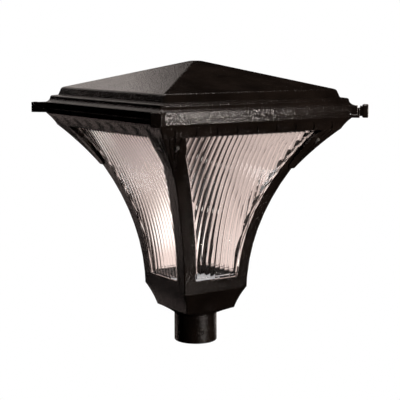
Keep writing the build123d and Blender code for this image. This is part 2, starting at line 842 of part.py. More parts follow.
def hinge_lug_of_frame(sign):
    """Outer cheek of the rear lug at full height, and the web under the roof's knuckle."""
    block = hinge_lug_block(sign)
    split = hinge_x + side_gap / 2
    cheek_low = (split, 0, 0) if sign > 0 else (-far, 0, 0)
    cheek_high = (far, far, far) if sign > 0 else (-split, far, far)
    cheek = block & box_between(cheek_low, cheek_high)
    web = block & slab(far, 0, hinge_z - knuckle_radius - 2 * side_gap)
    lug = cheek + web
    inner = slab(lip_half - cut, 0, far)
    return lug - inner - hinge_bore(sign, hinge_clear_in_frame)


def hinge_bore(sign, clearance):
    inner = (sign * (hinge_pin_inner - 10 * cut), hinge_y, hinge_z)
    return rod(hinge_pin_radius + clearance, inner, (sign * far / 2, hinge_y, hinge_z))


def hinge_lug_of_roof(sign):
    """Knuckle round the pin, and the web that joins it to the rim's corner."""
    outer = hinge_x - side_gap / 2
    knuckle = rod(knuckle_radius, (sign * knuckle_inner, hinge_y, hinge_z), (sign * outer, hinge_y, hinge_z))
    low_x, high_x = sorted((sign * (rim_half - rim_wall), sign * outer))
    low_z = rim_foot_z + side_gap
    web = box_between((low_x, rim_half - rim_wall, low_z), (high_x, hinge_y, rim_head_z - side_gap / 2))
    web = web & hinge_lug_block(sign)
    lug = knuckle + web
    return lug - hinge_bore(sign, running_clearance)


def make_hinge_pins():
    pins = []
    for sign in (-1, 1):
        ends = [(sign * x, hinge_y, hinge_z) for x in (hinge_pin_inner, hinge_pin_outer)]
        pin = rod(hinge_pin_radius, *ends)
        pins.append(chamfer(pin.edges().filter_by(GeomType.CIRCLE), hinge_pin_chamfer))
    return pins


def keeper(sign):
    """Corner bracket of the frame whose open slot the latch's shaft drops into."""
    back = keeper_face + keeper_thickness
    root = lug_root + keeper_root_inset
    web = diagonal_block(sign, -1, latch_ear_width, band_head_z, keeper_web_z, root, back)
    plate = diagonal_block(sign, -1, latch_ear_width, band_head_z, keeper_head_z, keeper_face, back)
    slot_half = latch_shaft_radius + keeper_slot_clearance
    slot = diagonal_block(sign, -1, 2 * slot_half, latch_z, far, keeper_face - cut, back + cut)
    return web + plate - slot - diagonal_rod(sign, slot_half, keeper_face - cut, back + cut)


def latch_notch(sign):
    """Gap in the frame's lip for the roof's ear."""
    width = latch_ear_width + 4 * side_gap
    return diagonal_block(sign, -1, width, keeper_web_z, far, lug_root, keeper_face)


def diagonal_rod(sign, radius, start, end):
    """Round bar along a front corner's diagonal, on the latch's line."""
    way = (sign / root2, -1 / root2)
    return rod(radius, (way[0] * start, way[1] * start, latch_z), (way[0] * end, way[1] * end, latch_z))


# ---------------------------------------------------------------- panels, gaskets, bars
def make_panels():
    """Four moulded panels: the ribbed field fills the window, hollow behind, and the flange laps the legs."""
    flange = flared_sheet(panel_inset, panel_back) & window_block(panel_foot_z, panel_head_z, panel_lap)
    margin = panel_side_gap + panel_thickness
    field = flared_sheet(-panel_rise, panel_inset + panel_flange_overlap, ribbed=True)
    field = field & window_block(
        leg_foot_z + panel_side_gap, leg_head_z - panel_side_gap, -panel_side_gap, rounded=True
    )
    hollow = flared_sheet(panel_thickness - panel_rise, panel_back + panel_flange_overlap)
    hollow = hollow & window_block(leg_foot_z + margin, leg_head_z - margin, -margin)
    front = (flange + field - hollow).solids().sort_by(SortBy.VOLUME)[-1]
    names = ("front", "right", "rear", "left")
    return dict(zip(names, four_ways(front)))


def flared_sheet(outer_inset, inner_inset, ribbed=False):
    """Sheet between two insets from the cage's front: a section at the waist, turned about the arc's axis."""
    crest = outer_inset - waist_half
    back = inner_inset - waist_half
    ribs = 2 * int(window_half(panel_head_z, panel_lap) / rib_pitch) + 3
    first = -ribs * rib_pitch / 2
    if ribbed:
        valley = crest + rib_depth
        front = [rib_arc(first + index * rib_pitch, crest, valley) for index in range(ribs)]
    else:
        valley = crest
        front = [Edge.make_line((first, valley, flare_centre_z), (-first, valley, flare_centre_z))]
    corner_points = ((-first, valley), (-first, back), (first, back), (first, valley))
    rear = Polyline(*[(x, y, flare_centre_z) for x, y in corner_points])
    section = Face(Wire.combine(front + list(rear.edges()))[0])
    axis = Axis((0, -flare_centre_half, flare_centre_z), (1, 0, 0))
    rise = panel_head_z - flare_centre_z + panel_back
    return revolve(section, axis, degrees(asin(rise / (flare_radius + outer_inset))))


def rib_arc(start, crest, valley):
    """One rounded rib across the sheet's section."""
    points = ((start, valley), (start + rib_pitch / 2, crest), (start + rib_pitch, valley))
    return ThreePointArc(*[(x, y, flare_centre_z) for x, y in points]).edge()


def window_block(low_z, high_z, lap, rounded=False):
    """The window's outline, wider by lap, pushed out through the front."""
    radii = (window_foot_radius, window_head_radius) if rounded else (0, 0)
    return extrude(window_face(low_z, high_z, lap, *radii), amount=far, dir=(0, -1, 0))


def make_panel_gaskets():
    low = panel_foot_z + gasket_end_gap
    high = panel_head_z - gasket_end_gap
    skin = cage_band(low - cut, high + cut, inset=leg_wall)
    skin -= cage_band(low - cut, high + cut, inset=panel_inset)
    outer = window_face(low, high, lap=gasket_inset + gasket_width)
    inner = window_face(leg_foot_z - gasket_inset, leg_head_z + gasket_inset, lap=gasket_inset)
    frame = extrude(outer, amount=far, dir=(0, -1, 0)) - extrude(inner, amount=far, dir=(0, -1, 0))
    front = (skin & frame).solids().sort_by(SortBy.VOLUME)[-1]
    return four_ways(front)


def bar_screw_places():
    front = [(x, -bar_screw_y) for x in (-bar_screw_x, bar_screw_x)]
    side = [(-bar_screw_y, y) for y in (-bar_screw_x, bar_screw_x)]
    places = front + side
    return places + [(-x, -y) for x, y in places]


def make_panel_bars():
    inner = flare_half(bar_upright_z, panel_back) - bar_gap - bar_thickness
    length = bar_length_half
    top = box_between((-length, -bar_reach, ledge_z - bar_thickness), (length, -inner, ledge_z))
    stem = box_between((-length, -inner - bar_thickness, bar_upright_z), (length, -inner, ledge_z))
    bar = top + stem
    for x in (-bar_screw_x, bar_screw_x):
        bar -= screw_hole(small_screw, (x, -bar_screw_y, ledge_z - bar_thickness), (0, 0, 1), bar_thickness)
    return dict(zip(("front", "right", "rear", "left"), four_ways(bar)))


def make_bar_screws():
    seat_z = ledge_z - bar_thickness
    length = bar_thickness + ledge_thickness - screw_end_gap
    return [screw(small_screw, (x, y, seat_z), (0, 0, 1), length) for x, y in bar_screw_places()]


# ---------------------------------------------------------------- floor plate
def make_floor_plate():
    plate = slab(floor_half, shelf_z, floor_top)
    plate = chamfer(plate.edges().filter_by(Axis.Z), floor_corner)
    for x, y in corners(floor_screw_half):
        plate -= screw_hole(small_screw, (x, y, floor_top), (0, 0, -1), floor_thickness)
    hole = riser_diameter / 2 + grommet_wall
    return plate - rod(hole, (*riser_foot, shelf_z - cut), (*riser_foot, floor_top + cut))


def make_floor_screws():
    length = floor_thickness + shelf_thickness - short_end_gap
    return [screw(small_screw, (x, y, floor_top), (0, 0, -1), length) for x, y in corners(floor_screw_half)]


def grommet(x, y, low_z, high_z):
    """Rubber ring in a plate's hole, with a lip above and below."""
    hole = riser_diameter / 2 + grommet_wall
    ring = rod(hole, (x, y, low_z), (x, y, high_z))
    for z in (low_z - grommet_lip, high_z):
        ring += rod(hole + grommet_flange, (x, y, z), (x, y, z + grommet_lip))
    return ring - rod(riser_diameter / 2, (x, y, low_z - 5 * cut), (x, y, high_z + 5 * cut))


# ---------------------------------------------------------------- gear
def tray_screw_places():
    middle = (tray_well_half + ledge_half) / 2 + tray_screw_shift
    return [(middle, 0), (0, middle), (-middle, 0), (0, -middle)]


def make_gear_tray():
    tray = slab(tray_half, tray_z, tray_top)
    tray = chamfer(tray.edges().filter_by(Axis.Z), tray_corner)
    tray -= slab(light_opening_half, tray_z - cut, tray_top + cut)
    holes = tray_screw_places()
    holes += device_screw_places(driver_at, driver_size)
    holes += device_screw_places(surge_at, surge_size)
    holes += block_screw_places(tray_block_at)
    holes += cover_screw_places()
    holes += [earth_at]
    for x, y in holes:
        tray -= screw_hole(small_screw, (x, y, tray_top), (0, 0, -1), tray_thickness)
    for x, y in corners(sink_screw_half):
        tray -= screw_hole(medium_screw, (x, y, tray_top), (0, 0, -1), tray_thickness)
    hole = riser_diameter / 2 + grommet_wall
    return tray - rod(hole, (*riser_head, tray_z - cut), (*riser_head, tray_top + cut))


def make_tray_screws():
    length = tray_thickness + ledge_thickness - short_end_gap
    return [screw(small_screw, (x, y, tray_top), (0, 0, -1), length) for x, y in tray_screw_places()]


def make_heat_sink():
    sink = slab(sink_half, tray_top, tray_top + sink_base)
    pitch = (2 * sink_half - sink_fin_thickness) / (sink_fins - 1)
    for index in range(sink_fins):
        x = -sink_half + sink_fin_thickness / 2 + index * pitch
        fin = box_between(
            (x - sink_fin_thickness / 2, -sink_half, tray_top + sink_base),
            (x + sink_fin_thickness / 2, sink_half, tray_top + sink_base + sink_fin_height),
        )
        sink += fin
    clear = medium_screw[1] + sink_screw_room
    for x, y in corners(sink_screw_half):
        top = tray_top + sink_base
        sink -= rod(clear, (x, y, top), (x, y, top + sink_fin_height + cut))
        sink -= screw_hole(medium_screw, (x, y, top), (0, 0, -1), sink_base)
    return sink


def make_sink_screws():
    seat_z = tray_top + sink_base
    length = sink_base + tray_thickness + 3 * screw_end_gap
    return [screw(medium_screw, (x, y, seat_z), (0, 0, -1), length) for x, y in corners(sink_screw_half)]


def make_light_board():
    return slab(board_half, tray_top - board_thickness, tray_top)


def make_light_emitters():
    top = tray_top - board_thickness
    start = -(emitter_rows - 1) * emitter_pitch / 2
    emitters = []
    for row in range(emitter_rows):
        for column in range(emitter_rows):
            x = start + column * emitter_pitch
            y = start + row * emitter_pitch
            emitter = Box(emitter_size, emitter_size, emitter_thickness)
            emitters.append(Pos(x, y, top - emitter_thickness / 2) * emitter)
    return emitters


def make_light_cover():
    cover = slab(cover_half, tray_z - cover_depth, tray_z)
    cover = fillet(cover.edges().filter_by(Axis.Z), cover_corner)
    cover = fillet(cover.faces().sort_by(Axis.Z)[0].edges(), cover_edge)
    cover -= slab(light_opening_half, tray_z - cover_depth + cover_wall, tray_z + cut)
    for x, y in cover_screw_places():
        cover -= screw_hole(small_screw, (x, y, tray_z - cover_depth), (0, 0, 1), cover_depth)
    return cover


def cover_screw_places():
    middle = (cover_half + light_opening_half) / 2
    return [(middle, 0), (0, middle), (-middle, 0), (0, -middle)]


def make_cover_screws():
    seat_z = tray_z - cover_depth
    length = cover_depth + tray_thickness - head_room
    return [screw(small_screw, (x, y, seat_z), (0, 0, 1), length) for x, y in cover_screw_places()]


def device_screw_places(at, size):
    reach = (size[0] + case_foot) / 2
    return [(at[0] - reach, at[1]), (at[0] + reach, at[1])]


def device(at, size, corner):
    """Closed case on the tray, with a foot at each end."""
    length, width, height = size
    case = box_between((-length / 2, -width / 2, 0), (length / 2, width / 2, height))
    case = fillet(case.edges().filter_by(Axis.Z), corner)
    case = fillet(case.faces().sort_by(Axis.Z)[-1].edges(), corner * case_top_share)
    foot_x = length / 2 + case_foot
    foot_y = case_foot_width / 2
    case += box_between((-foot_x, -foot_y, 0), (foot_x, foot_y, tray_thickness))
    case = Pos(at[0], at[1], tray_top) * case
    for x, y in device_screw_places(at, size):
        case -= screw_hole(small_screw, (x, y, tray_top + tray_thickness), (0, 0, -1), tray_thickness)
    return case


def make_device_screws():
    places = device_screw_places(driver_at, driver_size) + device_screw_places(surge_at, surge_size)
    seat_z = tray_top + tray_thickness
    length = 2 * tray_thickness + 3 * short_end_gap
    return [screw(small_screw, (x, y, seat_z), (0, 0, -1), length) for x, y in places]


def block_screw_places(at):
    reach = block_size[0] / 2 - block_screw_inset
    return [(at[0] - reach, at[1]), (at[0] + reach, at[1])]


def terminal_block(at, low_z):
    """Moulded block with a wire mouth on each side and a screw well on top for every pole."""
    length, width, height = block_size
    block = box_between((-length / 2, -width / 2, 0), (length / 2, width / 2, height))
    block = chamfer(block.faces().sort_by(Axis.Z)[-1].edges().filter_by(Axis.X), block_chamfer)
    for pole in range(block_poles):
        x = (pole - (block_poles - 1) / 2) * block_pitch
        block -= Pos(x, 0, height) * Cylinder(*block_well)
        block -= Pos(x, -width / 2, block_mouth_height) * Box(*block_mouth)
    block = Pos(at[0], at[1], low_z) * block
    for x, y in block_screw_places(at):
        block -= screw_hole(small_screw, (x, y, low_z + height), (0, 0, -1), height)
        block -= rod(small_screw[1] + head_room, (x, y, low_z + block_seat), (x, y, low_z + height + cut))
    return block


def block_screws(at, low_z, grip):
    seats = [(x, y, low_z + block_seat) for x, y in block_screw_places(at)]
    return [screw(small_screw, seat, (0, 0, -1), block_seat + grip) for seat in seats]


def make_earth_screw():
    radius, thickness = earth_washer
    seat = (*earth_at, tray_top + thickness)
    washer = rod(radius, (*earth_at, tray_top), seat)
    return washer + screw(small_screw, seat, (0, 0, -1), thickness + tray_thickness + 3 * short_end_gap)


# ---------------------------------------------------------------- leads
def lead(points, diameter, name):
    """Lead along straight runs joined by tangent arcs, each as large as its two runs allow."""
    points = [Vector(*point) for point in points]
    radii = []
    for before, here, after in zip(points, points[1:], points[2:]):
        turn = radians((here - before).get_angle(after - here))
        shorter = min((here - before).length, (after - here).length)
        radii.append(0.45 * shorter / tan(turn / 2))
    path = FilletPolyline(*points, radius=radii)
    start = Plane(origin=points[0], z_dir=points[1] - points[0])
    body = sweep(start * Circle(diameter / 2), path=path)
    expected = pi * diameter ** 2 / 4 * path.length
    print(name, "length", round(path.length, 1), "radii", [round(r, 1) for r in radii],
          "volume share", round(body.volume / expected, 4))
    return body


riser_foot_z = flange_head_z + pod_floor + block_size[2]
riser_route = [
    (*riser_foot, riser_foot_z),
    (*riser_foot, 143.0),
    (29.0, 46.0, 166.0),
    (55.0, 57.0, 195.0),
    (66.0, 66.4, 236.0),
    (78.0, 77.4, 282.0),
    (96.0, 96.6, 332.0),
    (121.0, 120.4, 382.0),
    (149.0, 148.6, 422.0),
    (*riser_head, 447.0),
    (*riser_head, 497.0),
    (137.5, 163.6, 520.0),
    (99.4, 169.8, 520.0),
    (*tray_block_at, 506.4),
    (*tray_block_at, tray_top + block_size[2]),
]


def make_riser_clips():
    """Saddles that hold the riser to the rear right leg's inner corner."""
    clips = []
    for z in riser_clip_heights:
        for low, high in zip(riser_route, riser_route[1:]):
            if low[2] <= z <= high[2]:
                break
        share = (z - low[2]) / (high[2] - low[2])
        centre = Vector(*low) + (Vector(*high) - Vector(*low)) * share
        way = (Vector(*high) - Vector(*low)).normalized()
        half = riser_clip_half
        run = way * half
        ring = rod(riser_diameter / 2 + riser_clip_wall, tuple(centre - run), tuple(centre + run))
        bar = diagonal_block(1, 1, half, z - half, z + half, centre.X * root2, flare_half(z) * root2)
        bar = bar & cage_band(z - half - cut, z + half + cut, inset=leg_wall + hole_clearance)
        bore = rod(riser_diameter / 2 + hole_clearance, tuple(centre - run * 5), tuple(centre + run * 5))
        clips.append(ring + bar - bore)
    return clips


def make_driver_lead():
    """From the block's front face to the end of the driver."""
    start_x = tray_block_at[0] - block_pitch
    start_y = tray_block_at[1] - block_size[1] / 2
    end_x = driver_at[0] + driver_size[0] / 2
    end_y = driver_at[1]
    corner = (start_x - end_x) / 3
    route = [
        (start_x, start_y, tray_top + driver_lead_height),
        (start_x, end_y + corner, tray_top + driver_lead_height),
        (start_x - corner, end_y, tray_top + driver_lead_height),
        (end_x, end_y, tray_top + driver_lead_height),
    ]
    return lead(route, lead_diameter, "driver_lead")


def make_light_lead():
    """From the driver's side to the edge of the heat sink's base."""
    sink_top = tray_top + sink_base
    start_y = driver_at[1] - driver_size[1] / 2
    route = [
        (light_lead_x, start_y, tray_top + light_lead_height),
        (light_lead_x, start_y - light_lead_run, tray_top + light_lead_height),
        (light_lead_x, sink_half + light_lead_run, sink_top - sink_base / 2),
        (light_lead_x, sink_half, sink_top - sink_base / 2),
    ]
    return lead(route, light_lead_diameter, "light_lead")


# ---------------------------------------------------------------- roof and latches
def roof_lines():
    """Outer outline of the roof: rim, moulded step, ledge, fascia and pyramid."""
    rim_edge, cove_mid, cove_end, bead_mid, bead_end = [
        (rim_half - inwards, 0, rim_head_z + upwards)
        for inwards, upwards in ((0, 0), cove_middle, cove_head, bead_middle, bead_head)
    ]
    rim = upright((rim_half, rim_foot_z), (rim_half, rim_head_z))
    hollow = ThreePointArc(rim_edge, cove_mid, cove_end)
    shoulder = ThreePointArc(cove_end, bead_mid, bead_end)
    ledge = upright((step_half, step_z), (fascia_foot_half, ledge_top_z))
    crown_half = apex_radius / 2
    crown_z = apex_z - pyramid_rise * crown_half
    turns = (
        (fascia_foot_half, ledge_top_z), (fascia_head_half, eave_z), (crown_half, crown_z), (0, crown_z)
    )
    slope = FilletPolyline(*[(half, 0, z) for half, z in turns], radius=(fascia_radius, 2 * apex_radius))
    return rim, hollow, shoulder, ledge, slope


def roof_inner_lines():
    """Inner outline of the roof."""
    peak = apex_z - roof_wall * 1.1
    inner_rim = rim_half - rim_wall
    inner_eave = fascia_head_half - roof_wall
    return [
        upright(
            (inner_rim, rim_foot_z - cut),
            (inner_rim, rim_head_z - roof_wall),
            (step_half - 0.75 * roof_wall, step_z - 1.75 * roof_wall),
            (fascia_foot_half - roof_wall, ledge_top_z - roof_wall),
            (inner_eave, peak - pyramid_rise * inner_eave),
            (0, peak),
        )
    ]


def make_roof_cover():
    outer = square_body(*roof_lines(), edge=roof_edge)
    body = outer - square_body(*roof_inner_lines())
    rib_head_z = step_z - roof_wall
    body += slab(rib_half, gasket_top + roof_gap, rib_head_z) - slab(rib_half - rib_wall, 0, far)
    for sign in (-1, 1):
        body += hinge_lug_of_roof(sign)
        ear_levels = (latch_ear_foot_z, rim_head_z - side_gap)
        body += diagonal_block(sign, -1, latch_ear_width, *ear_levels, latch_ear_root, latch_ear_reach)
        body -= diagonal_rod(sign, latch_shaft_radius + running_clearance, lug_root, lug_reach)
        body -= diagonal_rod(sign, latch_clip_radius + head_room, latch_shaft_root - cut, latch_ear_root)
    return body


def make_roof_gasket():
    ring = slab(gasket_outer_half, gasket_ledge_z, gasket_top)
    ring = ring - slab(gasket_outer_half - gasket_ring_width, 0, gasket_top + cut)
    return ring - diagonal_notches()


def diagonal_notches():
    """Room for the latch clips at the gasket's front corners."""
    width = latch_ear_width + 4 * side_gap
    start = latch_shaft_root - cut
    return [diagonal_block(sign, -1, width, gasket_ledge_z - cut, far, start, lug_reach) for sign in (-1, 1)]


def make_latch_knob(sign):
    """Cast knob: a neck against the keeper, then a block with rounded corners and a crowned end."""
    neck_start = keeper_face + keeper_thickness + side_gap
    head_start = neck_start + knob_neck_length
    neck_width, neck_height = knob_neck_size
    width, height = knob_head_size
    low_z = latch_z - neck_height / 2
    high_z = latch_z + neck_height / 2
    neck = diagonal_block(sign, -1, neck_width, low_z, high_z, neck_start, head_start, knob_corner)
    full_start = head_start + knob_flare_length
    small = RectangleRounded(width - 2 * knob_flare, height - 2 * knob_flare, knob_corner)
    foot = diagonal_plane(sign, -1, head_start, latch_z) * small
    full = diagonal_plane(sign, -1, full_start, latch_z) * RectangleRounded(width, height, knob_corner)
    head = extrude(full, amount=lug_reach - full_start)
    end_face = head.faces().sort_by(lambda face: -hypot(face.center().X, face.center().Y))[0]
    head = fillet(end_face.edges(), knob_crown)
    knob = neck + loft([foot, full]) + head
    return knob - diagonal_rod(sign, latch_shaft_radius, neck_start - cut, neck_start + knob_bore_depth)


def make_latch_shaft(sign):
    neck_start = keeper_face + keeper_thickness + side_gap
    return diagonal_rod(sign, latch_shaft_radius, latch_shaft_root, neck_start + knob_bore_depth)


def make_latch_washer(sign):
    start = latch_ear_root - latch_washer_thickness - latch_washer_gap
    ring = diagonal_rod(sign, latch_clip_radius, start, start + latch_washer_thickness)
    return ring - diagonal_rod(sign, latch_shaft_radius, start - cut, start + 2 * cut)


def make_latch_clip(sign):
    end = latch_ear_root - latch_washer_thickness - latch_washer_gap
    start = end - latch_clip_thickness
    ring = diagonal_rod(sign, latch_clip_radius - latch_clip_step, start, end)
    return ring - diagonal_rod(sign, latch_shaft_radius, start - cut, end + cut)


# ---------------------------------------------------------------- write the nodes
def as_one(bodies):
    """Several separate solids in one node."""
    return Compound(children=[solid for body in bodies for solid in body.solids()])


def all_nodes():
    tray_block_z = tray_top
    pod_block_z = flange_head_z + pod_floor
    nodes = {
        "post_fitter": make_post_fitter(),
        "fitter_set_screws": as_one(make_set_screws()),
        "base_pod": make_base_pod(),
        "pod_screws": as_one(make_pod_screws()),
        "bottom_ring": make_bottom_ring(),
        "leg_foot_screws": as_one(make_leg_foot_screws()),
        "leg_head_screws": as_one(make_leg_head_screws()),
        "cap_screws": as_one(make_cap_screws()),
        "top_ring": make_top_ring(),
        "panel_gaskets": as_one(make_panel_gaskets()),
        "bar_screws": as_one(make_bar_screws()),
        "floor_plate": make_floor_plate(),
        "floor_screws": as_one(make_floor_screws()),
        "pod_terminal_block": terminal_block(pod_block_at, pod_block_z),
        "tray_terminal_block": terminal_block(tray_block_at, tray_block_z),
        "terminal_screws": as_one(
            block_screws(pod_block_at, pod_block_z, pod_floor - 2)
            + block_screws(tray_block_at, tray_block_z, 2 * tray_thickness)
        ),
        "riser_cable": lead(riser_route, riser_diameter, "riser_cable"),
        "riser_clips": as_one(make_riser_clips()),
        "cable_grommets": as_one([
            grommet(*riser_foot, shelf_z, floor_top), grommet(*riser_head, tray_z, tray_top)
        ]),
        "gear_tray": make_gear_tray(),
        "tray_screws": as_one(make_tray_screws()),
        "heat_sink": make_heat_sink(),
        "heat_sink_screws": as_one(make_sink_screws()),
        "light_board": make_light_board(),
        "light_emitters": as_one(make_light_emitters()),
        "light_cover": make_light_cover(),
        "light_cover_screws": as_one(make_cover_screws()),
        "driver": device(driver_at, driver_size, driver_corner),
        "surge_protector": device(surge_at, surge_size, surge_corner),
        "gear_screws": as_one(make_device_screws()),
        "earth_screw": make_earth_screw(),
        "driver_lead": make_driver_lead(),
        "light_lead": make_light_lead(),
        "roof_gasket": make_roof_gasket(),
        "hinge_pins": as_one(make_hinge_pins()),
        "roof_cover": make_roof_cover(),
    }
    for name, leg in make_legs().items():
        nodes["leg_" + name] = leg
    for name, cap in make_leg_caps().items():
        nodes["leg_cap_" + name] = cap
    for name, panel in make_panels().items():
        nodes["panel_" + name] = panel
    for name, bar in make_panel_bars().items():
        nodes["panel_bar_" + name] = bar
    for side, sign in (("left", -1), ("right", 1)):
        nodes["latch_knob_" + side] = make_latch_knob(sign)
        nodes["latch_shaft_" + side] = make_latch_shaft(sign)
        nodes["latch_washer_" + side] = make_latch_washer(sign)
        nodes["latch_clip_" + side] = make_latch_clip(sign)
    return nodes


os.makedirs("parts", exist_ok=True)
for name, body in all_nodes().items():
    export_step(body, f"parts/{name}.step")
    print(name, len(body.solids()), "solids")
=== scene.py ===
# %% [markdown]
# # Dressing a post top lantern
#
# The lantern is already built as solids, each in its own place, down to the screws and the leads. This lesson gives
# every piece the finish that the real one has, and lights it as a product on a pale floor. Nothing is moved: the
# solids arrive as a fixed frame, and the finishes sit on them.

# %% Load the frame
import math
import bpy
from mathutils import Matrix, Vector

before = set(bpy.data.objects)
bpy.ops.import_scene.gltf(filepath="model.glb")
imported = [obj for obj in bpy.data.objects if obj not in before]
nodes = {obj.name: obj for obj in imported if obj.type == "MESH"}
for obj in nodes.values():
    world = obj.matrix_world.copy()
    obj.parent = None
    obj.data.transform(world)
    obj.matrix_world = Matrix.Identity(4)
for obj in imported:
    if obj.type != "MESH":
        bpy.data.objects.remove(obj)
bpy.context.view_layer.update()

# %% [markdown]
# ## The camera
#
# The picture looks at one corner of the lantern from a little above, through a long lens, so that the two near faces
# both show and the far side shrinks only slightly. The place and the lens are real sizes, found by matching the
# edges of the roof and the neck, so the camera needs no turning by eye.

# %% Camera
camera_place = Vector((-1.2366, -1.8606, 0.6138))
camera_target = Vector((0.0, 0.0, 0.295))
lens_mm = 98.0
axis_shift = 0.011

camera_data = bpy.data.cameras.new("camera")
camera_data.sensor_width = 36.0
camera_data.lens = lens_mm
camera_data.shift_x = axis_shift
camera = bpy.data.objects.new("camera", camera_data)
camera.location = camera_place
camera.rotation_euler = (camera_target - camera_place).to_track_quat("-Z", "Y").to_euler()
bpy.context.scene.collection.objects.link(camera)
bpy.context.scene.camera = camera
print("camera is", round((camera_target - camera_place).length, 3), "m from its target")

# %% [markdown]
# ## Maths on a material's links
#
# A finish is a tree of small nodes. Written out one by one they hide the idea, so a link is wrapped in a class whose
# plus, minus and times add the Math nodes, on either side of a plain number. `Finish.node` makes any other node: its
# settings come first, and then the values or links of its sockets.


# %% A link that can be added and multiplied
class Signal:
    """A number that changes over a surface."""

    def __init__(self, finish, socket):
        self.finish = finish
        self.socket = socket

    def maths(self, operation, first, second):
        return self.finish.node("ShaderNodeMath", {"operation": operation}, {0: first, 1: second})

    def __add__(self, other):
        return self.maths("ADD", self, other)

    __radd__ = __add__

    def __sub__(self, other):
        return self.maths("SUBTRACT", self, other)

    def __rsub__(self, other):
        return self.maths("SUBTRACT", other, self)

    def __mul__(self, other):
        return self.maths("MULTIPLY", self, other)

    __rmul__ = __mul__


# %% A finish with its nodes
class Finish:
    """One material, made node by node."""

    def __init__(self, name):
        self.material = bpy.data.materials.new(name)
        self.material.use_nodes = True
        self.tree = self.material.node_tree
        self.tree.nodes.clear()

    def node(self, kind, settings=None, sockets=None, output=0):
        """Any node: settings first, then the values or links of its sockets."""
        made = self.tree.nodes.new(kind)
        for name, value in (settings or {}).items():
            setattr(made, name, value)
        for name, value in (sockets or {}).items():
            if isinstance(value, Signal):
                self.tree.links.new(value.socket, made.inputs[name])
            else:
                made.inputs[name].default_value = value
        return Signal(self, made.outputs[output]) if made.outputs else None

    def place(self):
        """Where a point lies on the piece, in metres."""
        return self.node("ShaderNodeTexCoord", output="Object")

    def grain(self, size, detail=2.0, roughness=0.5, stretch=(1.0, 1.0, 1.0)):
        """Cloudy noise with lumps of about the given size in metres, from 0 to 1."""
        place = self.node("ShaderNodeVectorMath", {"operation": "MULTIPLY"}, {0: self.place(), 1: stretch})
        sockets = {"Vector": place, "Scale": 0.7 / size, "Detail": detail, "Roughness": roughness}
        return self.node("ShaderNodeTexNoise", {}, sockets)

    def between(self, value, low, high, smooth=True):
        """0 below low, 1 above high, and a ramp between."""
        kind = "SMOOTHSTEP" if smooth else "LINEAR"
        sockets = {"Value": value, "From Min": low, "From Max": high}
        return self.node("ShaderNodeMapRange", {"interpolation_type": kind, "clamp": True}, sockets)

    def blend(self, share, first, second):
        """Colour that goes from first to second."""
        sockets = {0: share, 6: colour(first), 7: colour(second)}
        return self.node("ShaderNodeMix", {"data_type": "RGBA"}, sockets, output=2)

    def edges(self, width):
        """1 on edges that are rounded within width, and 0 on flat stretches."""
        rounded = self.node("ShaderNodeBevel", {"samples": 4}, {"Radius": width})
        flat = self.node("ShaderNodeNewGeometry", output="Normal")
        sockets = {0: rounded, 1: flat}
        along = self.node("ShaderNodeVectorMath", {"operation": "DOT_PRODUCT"}, sockets, output="Value")
        return self.between(1.0 - along, 0.004, 0.12)

    def relief(self, height, depth, strength=1.0, edge=0.0006):
        """Bumps of the given depth in metres on a surface whose edges are softened within edge."""
        rounded = self.node("ShaderNodeBevel", {"samples": 4}, {"Radius": edge})
        sockets = {"Height": height, "Distance": depth, "Strength": strength, "Normal": rounded}
        return self.node("ShaderNodeBump", {}, sockets)

    def surface(self, **sockets):
        """Closes the tree with one shader and hands back the material."""
        named = {name.replace("_", " "): value for name, value in sockets.items()}
        for name in ("Base Color", "Specular Tint", "Coat Tint", "Emission Color"):
            if name in named:
                named[name] = colour(named[name])
        shader = self.node("ShaderNodeBsdfPrincipled", {}, named, output="BSDF")
        self.node("ShaderNodeOutputMaterial", {}, {"Surface": shader})
        return self.material


def colour(value):
    """A link as it is, or three numbers as a colour."""
    return value if isinstance(value, Signal) else (*value, 1.0)


print("shader helpers ready")

# %% [markdown]
# ## Dark bronze powder coat
#
# The castings are sprayed with powder and baked. That leaves a satin skin with a fine grain, which breaks a highlight
# into sparkles, and edges that look a little rounded, because the coat flows over them. The colour is nearly black
# with some brown in it. The skin is a bed of small domes a few millimetres across, one to each cell of a cell
# pattern, with a finer noise on top: each dome mirrors a lamp at one point only. A painted image could show the same,
# but it would blur close up, and noise stays sharp. Dust and handling change the gloss in soft clouds. The sharp
# edges are painted a shade lighter in patches, partly as wear where the coat has worn thin and partly as a painted
# highlight along the edges.


# %% Powder coat
coat_dark = (0.010, 0.0072, 0.0058)
coat_brown = (0.022, 0.0155, 0.012)
# lighter edge colour: partly wear of the thin coat, partly a painted highlight along the edges
coat_worn_and_highlit_edge = (0.07, 0.058, 0.048)
dome_size = 0.0036
dome_depth = 0.00055


def powder_coat():
    coat = Finish("dark bronze powder coat")
    clouds = coat.grain(0.06, detail=4.0, roughness=0.6)
    specks = coat.grain(0.0015, detail=1.0)
    domes = coat.node("ShaderNodeTexVoronoi", {"feature": "F1"}, {"Vector": coat.place(), "Scale": 1 / dome_size})
    skin = coat.blend(coat.between(clouds, 0.35, 0.7), coat_dark, coat_brown)
    # painted highlight and wear: the sharp edges turn lighter in patches
    worn_and_highlit_edges = coat.edges(0.0008) * coat.between(coat.grain(0.01, detail=4.0), 0.42, 0.66) * 0.7
    height = specks * 0.15 - domes * domes
    return coat.surface(
        Base_Color=coat.blend(worn_and_highlit_edges, skin, coat_worn_and_highlit_edge),
        Roughness=coat.between(clouds, 0.2, 0.8, smooth=False) * 0.08 + 0.15,
        IOR=1.5,
        Normal=coat.relief(height, dome_depth, edge=0.001),
    )


print("coat made")

# %% [markdown]
# ## Clear ribbed sheet
#
# Each panel is clear plastic with upright ribs outside and a smooth inner face. The ribs are real shapes in the solid,
# so the sheet needs only a clear finish: light goes through and bends. The index is set lower than plastic's 1.49,
# which keeps the far legs as the narrow streaks that show through the real sheet. Moulded sheet is never perfectly
# clean, so the finish is slightly rough, with faint dust and a little unevenness in the surface. The flat cover under
# the light board has no ribs to smear anything, so it keeps the true index.


# %% Ribbed sheet
sheet_index = 1.2


